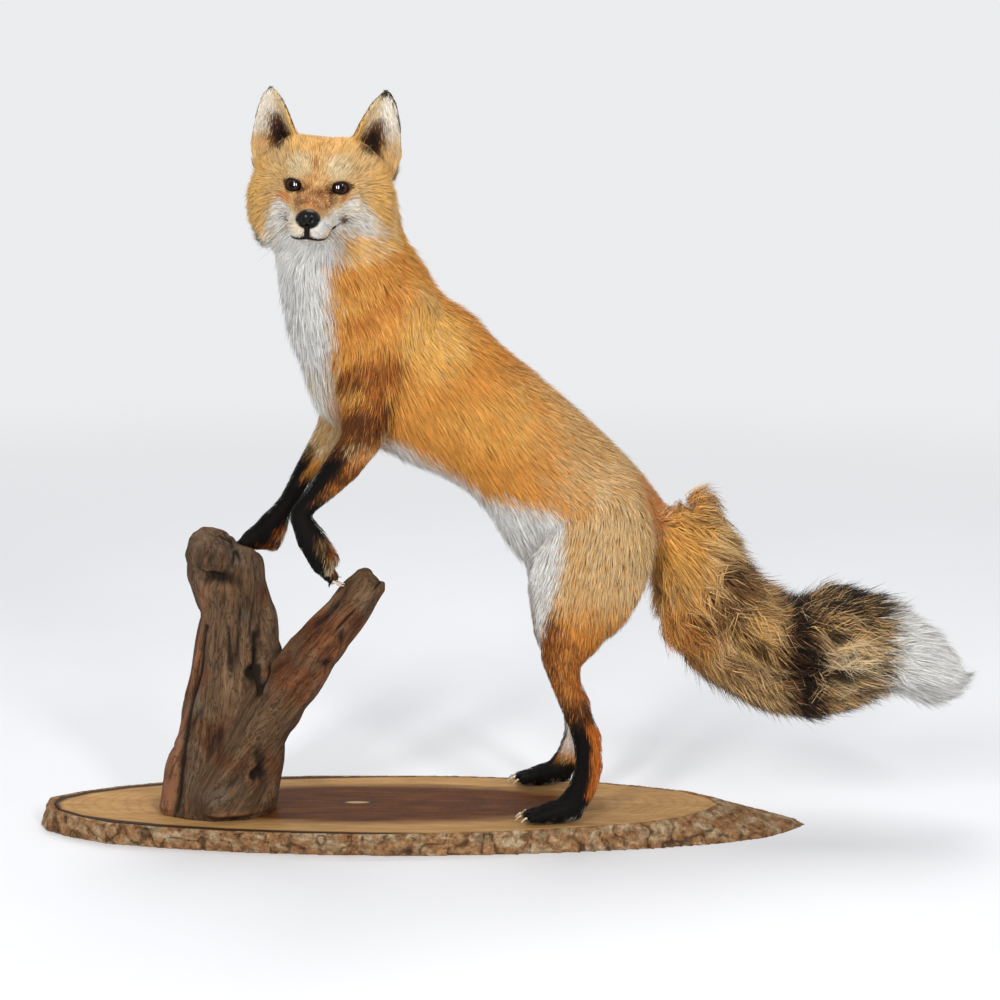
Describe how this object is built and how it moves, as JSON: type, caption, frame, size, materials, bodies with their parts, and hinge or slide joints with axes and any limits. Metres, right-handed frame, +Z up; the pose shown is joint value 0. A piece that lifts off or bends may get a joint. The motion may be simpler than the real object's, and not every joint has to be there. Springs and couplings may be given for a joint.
{
  "type": "taxidermy red fox",
  "caption": "Life-size mounted red fox standing on its hind feet, a forepaw on a forked driftwood stump, head turned aside, on an oval live-edge wood slab.",
  "frame": {"origin": "middle of the slab's flat underside, on the floor", "axes": "+X along the slab towards the tail, +Y from the fox's left side to its right side, +Z up"},
  "size_m": [1.0353, 0.2419, 0.8206],
  "materials": {
    "fur_red": "rust and orange fox fur, grizzled on the rump",
    "fur_white": "white fox fur",
    "fur_black": "short black leg fur",
    "nose_leather": "wet black, finely pebbled",
    "eye_glass": "dark amber-brown taxidermy glass",
    "claw_horn": "smooth cream horn",
    "driftwood": "weathered, cracked brown driftwood",
    "slab_timber": "satin, pale sapwood round a dark heart",
    "bark": "rough flaky bark"
  },
  "bodies": {
    "root": {"head": "fur_red", "neck": "fur_red", "chest": "fur_red", "loin": "fur_red", "rump": "fur_red", "ear_left": "fur_red", "ear_right": "fur_red", "upper_arm_left": "fur_red", "upper_arm_right": "fur_red", "thigh_left": "fur_red", "thigh_right": "fur_red", "shank_left": "fur_red", "shank_right": "fur_red", "tail_base": "fur_red", "tail_middle": "fur_red", "tail_end": "fur_red", "forearm_left": "fur_black", "forearm_right": "fur_black", "forepaw_left": "fur_black", "forepaw_right": "fur_black", "metatarsus_left": "fur_black", "metatarsus_right": "fur_black", "hindpaw_left": "fur_black", "hindpaw_right": "fur_black", "muzzle": "fur_white", "tail_tip": "fur_white", "nose": "nose_leather", "eye_left": "eye_glass", "eye_right": "eye_glass", "claw_forepaw_left_1": "claw_horn", "claw_forepaw_left_2": "claw_horn", "claw_forepaw_left_3": "claw_horn", "claw_forepaw_left_4": "claw_horn", "claw_forepaw_right_1": "claw_horn", "claw_forepaw_right_2": "claw_horn", "claw_forepaw_right_3": "claw_horn", "claw_forepaw_right_4": "claw_horn", "claw_hindpaw_left_1": "claw_horn", "claw_hindpaw_left_2": "claw_horn", "claw_hindpaw_left_3": "claw_horn", "claw_hindpaw_left_4": "claw_horn", "claw_hindpaw_right_1": "claw_horn", "claw_hindpaw_right_2": "claw_horn", "claw_hindpaw_right_3": "claw_horn", "claw_hindpaw_right_4": "claw_horn", "driftwood_stem": "driftwood", "driftwood_branch": "driftwood", "slab_wood": "slab_timber", "slab_bark": "bark"}
  },
  "joints": []
}
